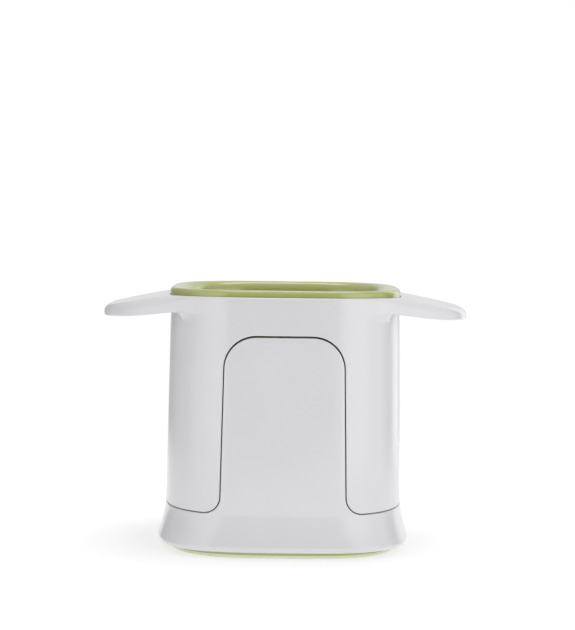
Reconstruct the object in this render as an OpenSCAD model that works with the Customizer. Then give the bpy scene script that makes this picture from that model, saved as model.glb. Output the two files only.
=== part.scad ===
// Push-down vegetable chopper with a cup for the chopped food: a winged upper housing
// with a blade grid slides down two arched panels of the base, over a field of pegs.
// Millimetres, Z up, origin on the table under the middle of the body.
// It is drawn closed: the legs of the upper housing stand on the ring of the base.

/* [Body] */
// Height of the handle plate's flat top above the table
plate_z = 99.2; // [92:0.2:112]
// Width of the square body at the handle plate
body_w = 91; // [88:0.5:98]
// How much wider the body is at the table than at the plate
body_draft = 3.6; // [2:0.2:5]
// Squareness of every rounded square in plan (2 is a circle)
plan_power = 3.3; // [3:0.1:4]
// Wall of the upper housing
wall = 3; // [2.4:0.2:3.4]
// Height of the legs' lower edge above the table
leg_z = 17.2; // [16:0.2:22]
// Running gap between the upper housing and the base
run_gap = 0.4; // [0.3:0.05:0.6]

/* [Windows] */
// Width of the arched window at the start of its arch
window_top_w = 46.2; // [40:0.2:50]
// Width of the window above the rounded feet of the legs
window_low_w = 48.2; // [44:0.2:52]
// Height of the window's crown below the plate's top
crown_drop = 14.4; // [12:0.2:22]
// Radius of the window's upper corners
arch_r = 12.5; // [6:0.5:18]
// Radius of the rounded foot on each leg
foot_r = 6.3; // [3:0.1:9]
// Gap over the crown of the panels, when the legs stand on the ring
crown_gap = 0.7; // [0.4:0.05:1]

/* [Wings] */
// Span of the handle plate from tip to tip
wing_span = 145; // [132:1:160]
// Depth of the wings from front to back
wing_depth = 76; // [64:1:80]
// Slope of the wings down to their tips, in degrees
wing_slope = 10.5; // [4:0.5:14]
// Distance inside the cup's rim at which the wings start to slope
slope_in = 1.4; // [1:0.1:3.5]
// Thickness of the handle plate
plate_t = 2.8; // [2.2:0.1:3.4]
// Height of the band that turns down all round the wings, where they leave the body
band_h = 6.3; // [5.6:0.1:7]
// Height of the band at the wings' tips
tip_h = 4; // [3.8:0.1:5.4]
// Thickness of that band
band_t = 2.4; // [1.8:0.1:2.8]
// Radius of the wings' upper edge where they leave the body
edge_r = 3.9; // [2:0.1:4]
// Radius of the band's lower edge
lip_r = 0.7; // [0.4:0.1:0.9]
// Radius of the fillet between the wings' underside and the body
root_r = 2.4; // [1.2:0.1:2.6]
// Height of the cove that leads the body's corners into the wings
cove_h = 4; // [2:0.2:6]
// Number of stiffening ribs under each wing
wing_ribs = 3; // [1:1:5]
// Spacing of those ribs, and of the ribs that steady the cup
rib_pitch = 17; // [12:0.5:19]
// Thickness of a rib
rib_t = 1.6; // [1.2:0.1:2]

/* [Cup] */
// Space between the cup and the housing's wall at the top
cup_gap = 2.1; // [1.8:0.1:2.8]
// How much narrower the cup's outside is at the bottom
cup_draft = 4; // [3.6:0.1:5]
// Wall of the cup
cup_wall = 2; // [1.6:0.1:2.4]
// Reach of the cup's rolled rim beyond its wall, at the two sides
rim_side = 5.5; // [4.8:0.1:6]
// Reach of the rim beyond the cup's wall, at the front and the back
rim_front = 3.9; // [3.2:0.1:4.1]
// Height of the rim's crown above the plate
rim_h = 2.6; // [1.8:0.1:3]
// Radius of the rim's outer edge
rim_r = 1.6; // [1:0.1:1.8]
// Depth below the plate at which the rim has rounded into the cup's inner wall
rim_roll = 2.5; // [1.5:0.1:4]
// Depth of the seat that takes the rim
seat_h = 1.3; // [0.8:0.1:1.6]
// Gap between pieces that are fitted and don't move
fit_gap = 0.3; // [0.2:0.05:0.4]

/* [Blades] */
// Number of blades each way
blade_count = 5; // [3:2:5]
// Spacing of the blades, which is the size of the chopped cubes
blade_pitch = 12; // [11.6:0.1:12.2]
// Thickness of a blade
blade_t = 0.5; // [0.4:0.05:0.8]
// Height of a blade
blade_h = 6.4; // [5:0.1:7]
// Length of blade that is held in the frame at each end
blade_hold = 2.2; // [1.4:0.1:2.6]
// Play of a blade in its slots, on each side
slot_play = 0.05; // [0.04:0.01:0.1]
// Height of the blades' ground bevel
bevel_h = 1; // [0.6:0.1:1.6]

/* [Base] */
// Wall of the base's ring and panels
base_wall = 3.3; // [2.6:0.1:3.6]
// Overhang of the flared foot beyond the body's line
flare = 2.2; // [1.2:0.1:4]
// Height of the widest line of the flare
flare_z = 3.6; // [3.4:0.1:5]
// Squareness of the flared foot in plan
foot_power = 4.2; // [3.4:0.1:5]
// Height of the white ring's lower edge above the table
ring_z = 2.6; // [2.2:0.1:3.4]
// Height of the white floor round the pegs
floor_z = 15; // [13.6:0.1:16]
// Thickness of that floor
floor_t = 1.8; // [1.4:0.1:2.4]
// Thickness of the green guide strip inside each panel
guide_t = 1.2; // [0.8:0.1:1.4]
// Step from a panel's edge in to the edge of its guide strip
guide_step = 3; // [2:0.2:5]

/* [Pegs] */
// Gap between a peg's foot and the blades on each side of it
peg_gap = 0.95; // [0.7:0.05:1.4]
// Taper of a peg: how much narrower it is at its top
peg_taper = 0.6; // [0.2:0.1:1]
// How far the pegs stand up past the top of the blades
peg_past = 2.2; // [1:0.1:4]
// Chamfer round the top of a peg
peg_chamfer = 0.7; // [0.3:0.1:1.2]
// Wall left by the cores moulded into the pegs from below
peg_wall = 1.6; // [1.4:0.1:2]
// Thickness of the peg plate's deck and skirt
deck_t = 2; // [1.6:0.1:2.4]

/* [Foot and screws] */
// Height of the pale foot ring that shows under the green flange
foot_h = 1.5; // [0.8:0.1:1.6]
// Depth to which the foot ring is let into the flange
foot_in = 0.5; // [0.3:0.1:0.6]
// Width of the foot ring's band
foot_band = 2.6; // [2:0.1:2.8]
// Step from the white ring's lower edge in to the green flange
flange_step = 2; // [1:0.1:2.6]
// Step from the green flange in to the foot ring
foot_step = 0.8; // [0.4:0.1:1]
// Diameter of the screws' shanks
screw_d = 2.4; // [2:0.1:2.6]
// Diameter of the screws' heads
head_d = 4.2; // [3.8:0.1:4.4]
// Height of the screws' heads
head_h = 1; // [0.8:0.1:1.2]
// Length of thread that a screw has in its boss
thread_l = 5; // [4:0.5:6]
// Diameter of the bosses that take the screws
boss_d = 5.4; // [5:0.1:5.8]

/* [Hidden] */

white = [0.93, 0.93, 0.94];
lime = [0.74, 0.77, 0.28];
steel = [0.75, 0.76, 0.78];
pale = [0.80, 0.84, 0.72];

far = 200;
arc_steps = 8;
round_steps = 3;
edge_steps = 4;
flare_steps = 5;
hole_fn = 32;

// Directions of the points of every level: closer together round the tips and corners
quarter = concat([0, 6], [for (a = [12:3:48]) a], [52, 57, 63, 70, 77, 84]);
half_turn = concat(quarter, [90], [for (i = [len(quarter) - 1:-1:1]) 180 - quarter[i]]);
angles = concat(half_turn, [for (a = half_turn) a + 180]);

// Reach of a rounded square along its diagonal, for a half width of 1
diagonal = pow(2, 1 / 2 - 1 / plan_power);

// Heights
window_z = plate_z - crown_drop;
ring_top = leg_z - run_gap;
seat_z = plate_z - seat_h;
skirt_z = seat_z - plate_t;
frame_z = leg_z + run_gap;
blade_z = frame_z + fit_gap;
blade_top = blade_z + blade_h;
blade_mid = blade_z + blade_h / 2;
cup_z = blade_top + 2 * slot_play;
peg_top = blade_top + peg_past;
deck_z = floor_z - slot_play;
flange_z = foot_h;
spigot_z = ring_z + floor_t;

// Half widths in plan
cup_half = body_w / 2 - wall - cup_gap;
cup_low = cup_half - cup_draft / 2;
hole_half = cup_half + fit_gap;
rim_x = cup_half + rim_side;
rim_y = cup_half + rim_front;
seat_x = rim_x + fit_gap;
seat_y = rim_y + fit_gap;
guide_half = body_half(window_z) - base_wall - slot_play - guide_t;
frame_half = guide_half - run_gap;
mouth = cup_low - cup_wall;
peg_reach = mouth - run_gap;
floor_half = mouth + run_gap;
deck_half = floor_half - fit_gap;
ring_half = body_half(ring_z) + flare_reach(ring_z);
ring_bore = ring_half - base_wall;
flange_half = ring_half - flange_step;
spigot_half = ring_bore - 2 * fit_gap;
foot_half = flange_half - foot_step;

// Distance of the screws from the middle, along the diagonals
frame_boss = (body_half(leg_z) - wall) * diagonal - boss_d / 2 - fit_gap;
base_boss = deck_half * diagonal + fit_gap + boss_d / 2;
post_h = thread_l + wall;

blade_slot = blade_t + 2 * slot_play;
peg_w = blade_pitch - blade_t - 2 * peg_gap;

// --- Outlines in plan ---

// Half width of the drafted body at height z
function body_half(z) = body_w / 2 + body_draft / 2 * (1 - z / plate_z);

// How far the flared foot reaches past the drafted body at height z
flare_bow = 1.5;
function flare_reach(z) = z > flare_z
    ? flare * pow(max(0, (ring_top - z) / (ring_top - flare_z)), flare_bow)
    : flare - (flare_z - ring_z) * (1 - sqrt(max(0, 1 - pow((flare_z - z) / (flare_z - ring_z), 2))));

// Radius of a rounded rectangle in direction t
function plan_radius(t, ax, ay, power = plan_power) =
    pow(pow(abs(cos(t)) / ax, power) + pow(abs(sin(t)) / ay, power), -1 / power);
function plan(ax, ay) = [for (t = angles) plan_radius(t, ax, ay) * [cos(t), sin(t)]];

// Half length of a rounded square of half width a, at distance y from its middle
function chord(a, y) = a * pow(1 - pow(abs(y) / a, plan_power), 1 / plan_power);

function mix(a, b, t) = a + (b - a) * t;
function arc(cx, cy, r, from, to) = [for (i = [0:arc_steps])
    let (a = mix(from, to, i / arc_steps)) [cx + r * cos(a), cy + r * sin(a)]];
function mirrored(points) = [for (i = [len(points) - 1:-1:0]) [-points[i].x, points[i].y]];

// One level of a loft: a rounded square or rectangle at height z
function oblong_level(ax, ay, z) = [for (p = plan(ax, ay)) [p.x, p.y, z]];
function level(half, z) = oblong_level(half, half, z);

// Tube through a list of levels, each with the same number of points; the last joins the first
module loft(levels) {
    n = len(levels[0]);
    m = len(levels);
    skin = [for (k = [0:m - 1]) for (i = [0:n - 1])
        let (j = (i + 1) % n, up = (k + 1) % m * n, a = k * n + i, b = k * n + j)
        each [[a, up + i, up + j], [a, up + j, b]]];
    polyhedron([for (l = levels) each l], skin, convexity = 10);
}

// Straight prism on a rounded square, from height z0 to z1
module prism(half, z0, z1) {
    translate([0, 0, z0])
        linear_extrude(z1 - z0)
            polygon(plan(half, half));
}

// Ring with straight walls on a rounded square
module prism_ring(outer, inner, z0, z1) {
    translate([0, 0, z0])
        linear_extrude(z1 - z0)
            difference() {
                polygon(plan(outer, outer));
                polygon(plan(inner, inner));
            }
}

// Outline drawn in X and Z, extruded along Y from y0 to y1
module extrude_y(points, y0 = -far, y1 = far) {
    translate([0, y1, 0])
        rotate([90, 0, 0])
            linear_extrude(y1 - y0)
                polygon(points);
}

// The children at each corner of the body, at a distance along its diagonal
module at_corners(distance) {
    for (a = [45:90:315])
        rotate(a)
            translate([distance, 0, 0])
                children();
}

// --- Windows, and the panels that fill them ---

// Right-hand edge of the window, from the leg's rounded foot up to the crown, drawn in by gap
// and with its crown lowered by drop
function window_foot(gap) = arc(window_low_w / 2 + foot_r, leg_z + foot_r, foot_r + gap, 270, 180);
function window_crown(gap, drop = 0) =
    arc(window_top_w / 2 - arch_r, window_z - arch_r - drop, arch_r - gap, 0, 90);

// Opening between the legs, open below
function window_outline() = let (
        side = concat([[window_low_w / 2 + foot_r, 0]], window_foot(0), window_crown(0)))
    concat(side, mirrored(side));

// Ring and panel of the base, a running gap smaller than the window
function base_outline() = let (
        crown = window_crown(run_gap, crown_gap - run_gap),
        side = concat([[far, 0], [far, ring_top]], window_foot(run_gap), crown))
    concat(side, mirrored(side));

// Guide strip, which lines a panel from the floor up
function guide_outline() = let (
        inset = run_gap + guide_step,
        side = concat([[window_low_w / 2 - inset, 0]], window_crown(inset)))
    concat(side, mirrored(side));

// --- Upper housing ---

wing_half = wing_span / 2;
wing_side = wing_depth / 2;

// Sharpness of the corner between body and wing
blend_power = 20;

// Overhangs of the plate over which its band fades in, and then its rounded edge and the hollow under it
band_fade = 1.6;
fade = 6;

// Radius of the upper edge on the front and back faces, beside the rim's seat
brow_r = 0.9 * (body_w / 2 - seat_y);

// Drop of the wings below the flat plate, at distance x from the middle
bend = 4;
slope_start = rim_x - slope_in;
function droop(x) = let (d = abs(x) - slope_start) tan(wing_slope) / 2 * (d + sqrt(d * d + bend * bend));

// Height of the band at distance x from the middle
function band_drop(x) = let (s = (abs(x) - body_w / 2) / (wing_half - body_w / 2))
    mix(band_h, tip_h, pow(max(0, s), 2));

// Outline of the plate with its wings, in direction t
function body_edge(t, z) = plan_radius(t, body_half(z), body_half(z));
function plate_edge(t) = let (b = body_edge(t, plate_z), w = plan_radius(t, wing_half, wing_side))
    b * pow(1 + pow(w / b, blend_power), 1 / blend_power);

// Smooth step from 0, where the plate's overhang in direction t is below from, to 1 at from + reach
function share(t, from, reach) = let (
        over = plate_edge(t) - body_edge(t, plate_z) - from,
        s = max(0, min(1, over / reach)))
    s * s * (3 - 2 * s);
function band_share(t) = share(t, 0, band_fade);
function hollow_share(t) = share(t, band_t + lip_r, fade);
function edge_radius(t) = let (x = plate_edge(t) * cos(t))
    mix(brow_r, edge_r * band_drop(x) / band_h, share(t, 0, fade));

// Point of the plate's outline, drawn in by inset square to it
function plate_point(t, inset) = let (
        step = 0.5,
        q = plate_edge(t + step) * [cos(t + step), sin(t + step)],
        o = plate_edge(t - step) * [cos(t - step), sin(t - step)],
        along = (q - o) / norm(q - o))
    plate_edge(t) * [cos(t), sin(t)] - inset * [along.y, -along.x];

// Height of the band's lower edge where the wings leave the body
band_z = plate_z - droop(body_w / 2) - band_h;

// Point p of the band, drop below the plate's top, which fades into the body's face at height body_z
function faded(t, p, drop, body_z) = let (
        s = band_share(t),
        q = mix(body_edge(t, body_z) * [cos(t), sin(t)], p, s))
    [q.x, q.y, mix(body_z, plate_z - droop(q.x) - drop, s)];

// Level of the band's rounded lower edge, drawn in by inset and up above its lowest line
function lip_level(inset, up) = [for (t = angles) let (
        p = plate_point(t, inset * band_share(t)))
    faded(t, p, band_drop(p.x) - up, band_z + up)];

// Underside, level k of under_steps from the body out: a cove where the wings leave the body's
// corners, and point p at drop below the plate's top where they stand clear
under_steps = 6;
function under_point(t, k, p, drop) = let (
        turn = 90 * k / under_steps,
        low = cove_h * (1 - sin(turn)),
        cove = mix(body_edge(t, plate_z) * [cos(t), sin(t)], plate_point(t, lip_r * band_share(t)),
            1 - cos(turn)),
        q = mix(cove, p, hollow_share(t)))
    faded(t, q, mix(band_drop(q.x) + low, drop, hollow_share(t)), band_z - low);

// Fillet between the body and the plate's underside, from upright at turn 0 to flat at turn 90
function root_level(k, turn) = [for (t = angles)
    under_point(t, k, (body_edge(t, plate_z) + root_r * (1 - cos(turn))) * [cos(t), sin(t)],
        plate_t + root_r * (1 - sin(turn)))];

// Inner side of the band, drawn in by inset: at drop below the plate's top, or at its lower edge
function inner_level(k, inset, drop) = [for (t = angles) under_point(t, k, plate_point(t, inset), drop)];
function foot_of_band(k, inset) = [for (t = angles) let (p = plate_point(t, inset))
    under_point(t, k, p, band_drop(p.x))];

// Rounded upper edge, from upright at turn 0 to flat at turn 90
function edge_level(turn) = [for (t = angles) let (
        r = edge_radius(t),
        p = plate_point(t, r * (1 - cos(turn))))
    [p.x, p.y, plate_z - droop(p.x) - r * (1 - sin(turn))]];

// Top of the plate, from its edge at inward 0 to the seat of the cup's rim at inward 1
function top_level(inward) = [for (t = angles) let (
        p = mix(plate_point(t, edge_radius(t)), plan_radius(t, seat_x, seat_y) * [cos(t), sin(t)], inward))
    [p.x, p.y, plate_z - droop(p.x)]];

band_draft = 0.4;
cove_z = band_z - cove_h - lip_r;

function housing_levels() = concat(
    [level(body_half(leg_z), leg_z)],
    [level(body_half(cove_z), cove_z)],
    [for (i = [0:2]) root_level(i, 45 * i)],
    [inner_level(3, band_t + lip_r, plate_t)],
    [inner_level(4, band_t, plate_t + lip_r)],
    [foot_of_band(5, band_t - band_draft)],
    [lip_level(lip_r, 0), lip_level(0, lip_r)],
    [for (i = [0:edge_steps]) edge_level(90 * i / edge_steps)],
    [top_level(0.5), top_level(1)],
    [oblong_level(seat_x, seat_y, seat_z)],
    [level(hole_half, seat_z), level(hole_half, skirt_z)],
    [level(body_half(skirt_z) - wall, skirt_z), level(body_half(leg_z) - wall, leg_z)]);

// Rib under a wing at distance y from its middle, let into the body, the plate and the band
module wing_rib(y) {
    root = body_half(plate_z) - wall / 2;
    tip = wing_half * pow(1 - pow(abs(y) / wing_side, plan_power), 1 / plan_power) - band_t / 2;
    run = [for (i = [0:4]) mix(root, tip, i / 4)];
    translate([0, y, 0])
        extrude_y(concat(
            [for (x = run) [x, plate_z - droop(x) - band_drop(x) + lip_r]],
            [for (i = [4:-1:0]) [run[i], plate_z - droop(run[i]) - plate_t / 2]]), -rib_t / 2, rib_t / 2);
}

// Rib that steadies the cup from inside the housing, down to height low;
// reach is 1 on a side wall, and the reach of the diagonal in a corner
module cup_rib(low, reach) {
    top = skirt_z + plate_t / 2;
    extrude_y([
        [(body_half(low) - wall / 2) * reach, low],
        [(body_half(top) - wall / 2) * reach, top],
        [(hole_half + wall / 2) * reach, top],
        [hole_half * reach, skirt_z],
        [(cup_low + (low - cup_z) / (seat_z - cup_z) * (cup_half - cup_low) + fit_gap) * reach, low]],
        -rib_t / 2, rib_t / 2);
}

// Post in each corner that takes a screw of the blade frame, with the rib that ties it to the wall
module posts() {
    at_corners(frame_boss)
        translate([0, 0, cup_z])
            cylinder(d = boss_d, h = post_h, $fn = hole_fn);
    at_corners(0)
        cup_rib(cup_z + slot_play, diagonal);
}

module upper_housing() {
    color(white)
        difference() {
            union() {
                loft(housing_levels());
                posts();
                for (side = [0, 180])
                    rotate(side) {
                        for (i = [0:wing_ribs - 1])
                            wing_rib((i - (wing_ribs - 1) / 2) * rib_pitch);
                        for (y = [-rib_pitch / 2, rib_pitch / 2])
                            translate([0, y, 0])
                                cup_rib(cup_z + post_h, 1);
                    }
            }
            extrude_y(window_outline());
            at_corners(frame_boss)
                translate([0, 0, cup_z - 1])
                    cylinder(d = screw_d, h = thread_l + 1 + fit_gap, $fn = hole_fn);
        }
}

// --- Cup ---

rim_flat = 0.8;

// Rounded outer edge of the rim, from upright at turn 0 to flat at turn 90
function rim_level(turn) = let (inset = rim_r * (1 - cos(turn)))
    oblong_level(rim_x - inset, rim_y - inset, plate_z + rim_h - rim_r * (1 - sin(turn)));

// Inner side of the rim, from its crown at turn 0 down to the cup's wall at turn 90
function roll_level(turn) = let (
        inset = rim_r + rim_flat,
        s = sin(turn),
        inner = cup_half - cup_wall)
    oblong_level(mix(rim_x - inset, inner, s), mix(rim_y - inset, inner, s),
        plate_z + rim_h - (rim_h + rim_roll) * (1 - cos(turn)));

function cup_levels() = concat(
    [level(cup_low, cup_z), level(cup_half, seat_z)],
    [oblong_level(rim_x, rim_y, seat_z)],
    [for (i = [0:round_steps]) rim_level(90 * i / round_steps)],
    [for (i = [0:round_steps]) roll_level(90 * i / round_steps)],
    [level(mouth, cup_z)]);

module cup() {
    color(lime)
        loft(cup_levels());
}

// --- Blades ---

function blade_place(i) = (i - (blade_count - 1) / 2) * blade_pitch;

// Blade along X at distance y, with its cutting edge down and half-lap slots for the crossing blades
module blade(y, slots_up) {
    half = chord(mouth, y) + blade_hold;
    slot_z = slots_up ? blade_mid - slot_play : blade_z - 1;
    color(steel)
        difference() {
            translate([-half, y, 0])
                rotate([90, 0, 90])
                    linear_extrude(2 * half)
                        polygon([
                            [0, blade_z],
                            [blade_t / 2, blade_z + bevel_h],
                            [blade_t / 2, blade_top],
                            [-blade_t / 2, blade_top],
                            [-blade_t / 2, blade_z + bevel_h]]);
            for (i = [0:blade_count - 1])
                translate([blade_place(i) - blade_slot / 2, y - blade_t, slot_z])
                    cube([blade_slot, 2 * blade_t, blade_h / 2 + slot_play + 1]);
        }
}

module blade_x(i) {
    blade(blade_place(i - 1), true);
}

module blade_y(i) {
    rotate(90)
        blade(blade_place(i - 1), false);
}

// Frame that holds the ends of the blades under the cup, with an ear for a screw in each corner
module blade_frame() {
    color(lime)
        difference() {
            union() {
                prism_ring(frame_half, mouth, frame_z, cup_z);
                at_corners(frame_boss)
                    translate([0, 0, frame_z])
                        cylinder(d = boss_d, h = cup_z - frame_z, $fn = hole_fn);
            }
            for (turn = [0, 90])
                rotate(turn)
                    for (i = [0:blade_count - 1])
                        let (y = blade_place(i), half = chord(mouth, y) + blade_hold + slot_play)
                        translate([-half, y - blade_slot / 2, blade_z])
                            cube([2 * half, blade_slot, blade_h + 1]);
            at_corners(frame_boss) {
                translate([0, 0, frame_z - 1])
                    cylinder(d = screw_d + 2 * slot_play, h = cup_z - frame_z + 2, $fn = hole_fn);
                translate([0, 0, frame_z - 1])
                    cylinder(d = head_d + 2 * slot_play, h = head_h + 1, $fn = hole_fn);
            }
        }
}

// Round-headed screw, head down, with its head's upper face at height z
module screw(z, length) {
    translate([0, 0, z - head_h + slot_play])
        cylinder(d = head_d, h = head_h - slot_play, $fn = hole_fn);
    translate([0, 0, z - slot_play])
        cylinder(d = screw_d - 2 * slot_play, h = length + slot_play, $fn = hole_fn);
}

module frame_screws() {
    color(steel)
        at_corners(frame_boss)
            screw(frame_z + head_h, cup_z - frame_z - head_h + thread_l);
}

// --- Base ---

// Level of the ring, which grows squarer in plan as it flares
function foot_level(z) = let (
        half = body_half(z) + flare_reach(z),
        power = mix(plan_power, foot_power, flare_reach(z) / flare))
    [for (t = angles) let (r = plan_radius(t, half, half, power)) [r * cos(t), r * sin(t), z]];

function base_levels() = concat(
    [for (i = [0:round_steps - 1]) foot_level(mix(ring_z, flare_z, sin(90 * i / round_steps)))],
    [for (i = [0:flare_steps]) foot_level(mix(flare_z, ring_top, i / flare_steps))],
    [level(body_half(plate_z), plate_z), level(body_half(plate_z) - base_wall, plate_z)],
    [level(body_half(floor_z) - base_wall, floor_z)],
    [level(floor_half, floor_z), level(floor_half, floor_z - floor_t)],
    [level(body_half(floor_z) - base_wall, floor_z - floor_t), level(ring_bore, ring_z)]);

module base_housing() {
    color(white)
        difference() {
            union() {
                intersection() {
                    loft(base_levels());
                    extrude_y(base_outline());
                }
                at_corners(base_boss)
                    translate([0, 0, spigot_z])
                        cylinder(d = boss_d, h = floor_z - floor_t / 2 - spigot_z, $fn = hole_fn);
            }
            at_corners(base_boss)
                translate([0, 0, spigot_z - 1])
                    cylinder(d = screw_d, h = thread_l + 1 + fit_gap, $fn = hole_fn);
        }
}

// Strip that lines the inside of the front panel
module guide() {
    outer = base_wall + slot_play;
    color(lime)
        intersection() {
            loft([
                level(body_half(floor_z) - outer, floor_z),
                level(body_half(plate_z) - outer, plate_z),
                level(body_half(plate_z) - outer - guide_t, plate_z),
                level(body_half(floor_z) - outer - guide_t, floor_z)]);
            extrude_y(guide_outline(), -far, 0);
        }
}

module guide_front() {
    guide();
}

module guide_rear() {
    rotate(180)
        guide();
}

// --- Pegs ---

// Row of tapered teeth in X and Z, each inset by inset on its sides and its top
module teeth(inset, z0) {
    foot = peg_w / 2 - inset;
    top = foot - peg_taper / 2;
    for (i = [0:blade_count])
        translate([blade_place(i) - blade_pitch / 2, 0])
            polygon([
                [-foot, z0],
                [foot, z0],
                [top, peg_top - inset - peg_chamfer],
                [top - peg_chamfer, peg_top - inset],
                [peg_chamfer - top, peg_top - inset],
                [-top, peg_top - inset - peg_chamfer]]);
}

// Square field of pegs, where two rows of long teeth cross, cut round to pass through the frame
module peg_field(inset, z0) {
    intersection() {
        translate([0, far, 0])
            rotate([90, 0, 0])
                linear_extrude(2 * far)
                    teeth(inset, z0);
        translate([-far, 0, 0])
            rotate([90, 0, 90])
                linear_extrude(2 * far)
                    teeth(inset, z0);
        prism(peg_reach - inset, z0 - 1, peg_top + 1);
    }
}

module peg_plate() {
    color(lime)
        difference() {
            union() {
                peg_field(0, deck_z - deck_t / 2);
                prism(deck_half, flange_z, deck_z);
                prism(spigot_half, flange_z, spigot_z);
                prism(flange_half, flange_z, ring_z);
            }
            prism(deck_half - deck_t, flange_z - 1, deck_z - deck_t);
            peg_field(peg_wall, deck_z - deck_t - 1);
            prism_ring(foot_half, foot_half - foot_band, flange_z - 1, flange_z + foot_in);
            at_corners(base_boss) {
                translate([0, 0, flange_z - 1])
                    cylinder(d = screw_d + 2 * slot_play, h = spigot_z - flange_z + 2, $fn = hole_fn);
                translate([0, 0, flange_z - 1])
                    cylinder(d = head_d + 2 * slot_play, h = head_h + 1, $fn = hole_fn);
            }
        }
}

module base_screws() {
    color(steel)
        at_corners(base_boss)
            screw(flange_z + head_h, spigot_z - flange_z - head_h + thread_l);
}

module foot_ring() {
    color(pale)
        prism_ring(foot_half - slot_play, foot_half - foot_band + slot_play, 0, flange_z + foot_in);
}

upper_housing();
cup();
blade_frame();
blade_x(1);  // blade_x_1
blade_x(2);  // blade_x_2
blade_x(3);  // blade_x_3
blade_x(4);  // blade_x_4
blade_x(5);  // blade_x_5
blade_y(1);  // blade_y_1
blade_y(2);  // blade_y_2
blade_y(3);  // blade_y_3
blade_y(4);  // blade_y_4
blade_y(5);  // blade_y_5
frame_screws();
base_housing();
guide_front();
guide_rear();
peg_plate();
base_screws();
foot_ring();
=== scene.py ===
# Push-down vegetable chopper: a white winged housing with a lime cup and a grid of steel blades,
# standing closed on its white base. Metres in the file; sizes in the sections are in millimetres.
import math

import bmesh
import bpy
import numpy as np
from mathutils import Matrix


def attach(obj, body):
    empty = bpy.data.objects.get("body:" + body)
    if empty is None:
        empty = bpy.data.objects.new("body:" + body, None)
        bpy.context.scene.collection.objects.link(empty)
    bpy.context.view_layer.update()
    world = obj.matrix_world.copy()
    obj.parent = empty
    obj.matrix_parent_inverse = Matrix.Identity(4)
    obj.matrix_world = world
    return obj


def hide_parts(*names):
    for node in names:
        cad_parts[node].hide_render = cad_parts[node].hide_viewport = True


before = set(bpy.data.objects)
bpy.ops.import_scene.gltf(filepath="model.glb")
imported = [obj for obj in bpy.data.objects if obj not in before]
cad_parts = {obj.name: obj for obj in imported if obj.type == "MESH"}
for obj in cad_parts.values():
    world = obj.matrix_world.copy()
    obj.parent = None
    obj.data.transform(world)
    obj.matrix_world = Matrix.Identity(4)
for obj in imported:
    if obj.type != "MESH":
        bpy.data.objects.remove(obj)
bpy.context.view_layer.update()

MM = 0.001

# --- Studio -----------------------------------------------------------------------------------
# A pale matt table in a white tent, with one soft box overhead. The tent's walls are bright and dark
# by turns, and the glossy mouldings mirror them: dark ahead of the front, bright beyond its corners.

CAMERA_DISTANCE = 600.0
CAMERA_HEIGHT = 129.0
CAMERA_SIDE = 0.9
CAMERA_PITCH = 3.73
CAMERA_ROLL = 0.69
FOCAL_PIXELS = 1480.0
PICTURE_WIDTH = 575.0
SENSOR_WIDTH = 36.0
TABLE_HALF = 3.0        # in metres, as the table's fade and the soft box's size and place are
TABLE_FADE = (0.15, 0.42)
TABLE_GLOW = 0.48
ROOF_RISE = (0.36, 0.85)    # upward share of the direction, where the walls pass into the roof
ROOF_LIGHT = 0.7
COOL = 1.01             # blue against red and green in the tent's light
SOFT_BOX_SIZE = (0.5, 0.35)
SOFT_BOX_PLACE = (0.04, 0.15, 0.88)
SOFT_BOX_TILT = -10.0
SOFT_BOX_POWER = 1.8


def linear(code):
    """An sRGB hex colour as linear red, green, blue and alpha."""
    values = [int(code[i:i + 2], 16) / 255 for i in (1, 3, 5)]
    return [v / 12.92 if v <= 0.04045 else ((v + 0.055) / 1.055) ** 2.4 for v in values] + [1.0]


def add_node(tree, kind, settings=None, **inputs):
    """Adds one node; settings are its properties, inputs its sockets: a value, or another node's output."""
    node = tree.nodes.new(kind)
    for name, value in (settings or {}).items():
        setattr(node, name, value)
    for name, value in inputs.items():
        socket = node.inputs[int(name[1:])] if name[0] == "i" and name[1:].isdigit() else node.inputs[name]
        if isinstance(value, bpy.types.NodeSocket):
            tree.links.new(value, socket)
        else:
            socket.default_value = value
    return node


camera = bpy.data.objects.new("camera", bpy.data.cameras.new("camera"))
camera.data.sensor_fit = "HORIZONTAL"
camera.data.sensor_width = SENSOR_WIDTH
camera.data.lens = FOCAL_PIXELS * SENSOR_WIDTH / PICTURE_WIDTH
camera.data.clip_start = 0.01
camera.matrix_world = (
    Matrix.Translation((CAMERA_SIDE * MM, -CAMERA_DISTANCE * MM, CAMERA_HEIGHT * MM))
    @ Matrix.Rotation(math.radians(90 - CAMERA_PITCH), 4, "X")
    @ Matrix.Rotation(math.radians(CAMERA_ROLL), 4, "Z"))
bpy.context.scene.collection.objects.link(camera)
bpy.context.scene.camera = camera
bpy.context.scene.view_settings.view_transform = "Standard"

table = bpy.data.meshes.new("table")
table.from_pydata([(x * TABLE_HALF, y * TABLE_HALF, 0) for x, y in ((-1, -1), (1, -1), (1, 1), (-1, 1))],
                  [], [(0, 1, 2, 3)])
table_top = bpy.data.objects.new("table", table)
bpy.context.scene.collection.objects.link(table_top)

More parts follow.
